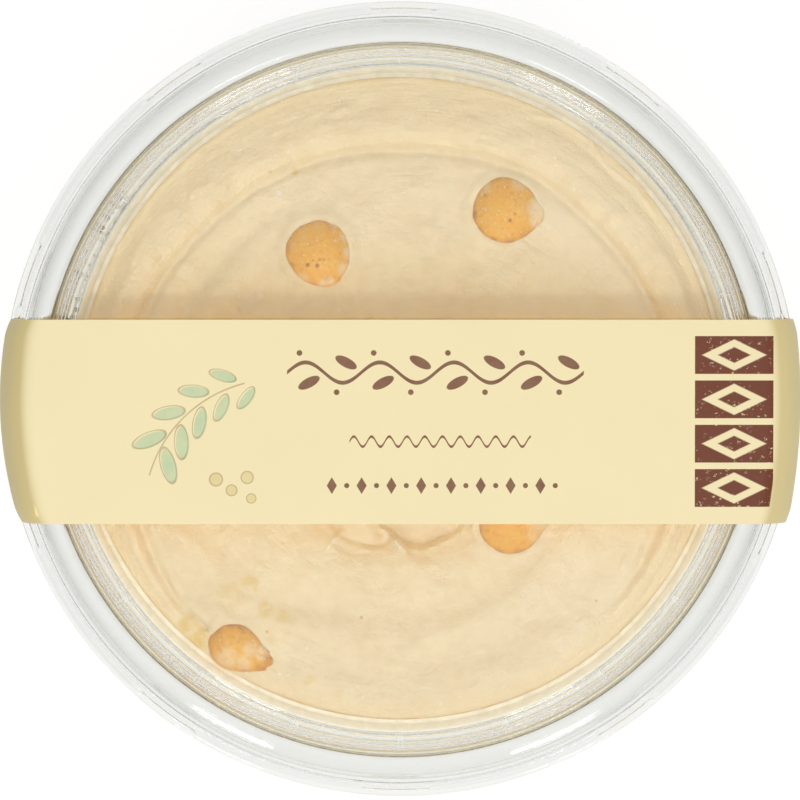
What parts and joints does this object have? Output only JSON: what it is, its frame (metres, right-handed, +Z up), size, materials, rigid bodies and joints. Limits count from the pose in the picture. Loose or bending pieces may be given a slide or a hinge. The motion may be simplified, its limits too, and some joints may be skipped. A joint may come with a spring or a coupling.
{
  "type": "tub of hummus",
  "caption": "Shut clear round tub of hummus with a swirled top and whole chickpeas, under a clear snap lid, with a card sleeve wrapped round its middle.",
  "frame": {"origin": "centre of the underside, on the surface that the pack stands on", "axes": "+Z up through the middle of the lid, +X to the right end of the sleeve and +Y to the back, as the sleeve's print is read"},
  "size_m": [0.119, 0.118, 0.0415],
  "materials": {
    "clear_plastic": "clear thin moulded plastic, glossy",
    "card": "smooth satin printed card, pale cream yellow with brown and green print",
    "hummus": "moist smooth chickpea paste with a fine grain",
    "chickpea": "cooked chickpea skin, moist, orange tan"
  },
  "bodies": {
    "root": {"tub": "clear_plastic", "lid": "clear_plastic", "sleeve": "card", "hummus": "hummus", "chickpea_1": "chickpea", "chickpea_2": "chickpea", "chickpea_3": "chickpea", "chickpea_4": "chickpea"}
  },
  "joints": []
}
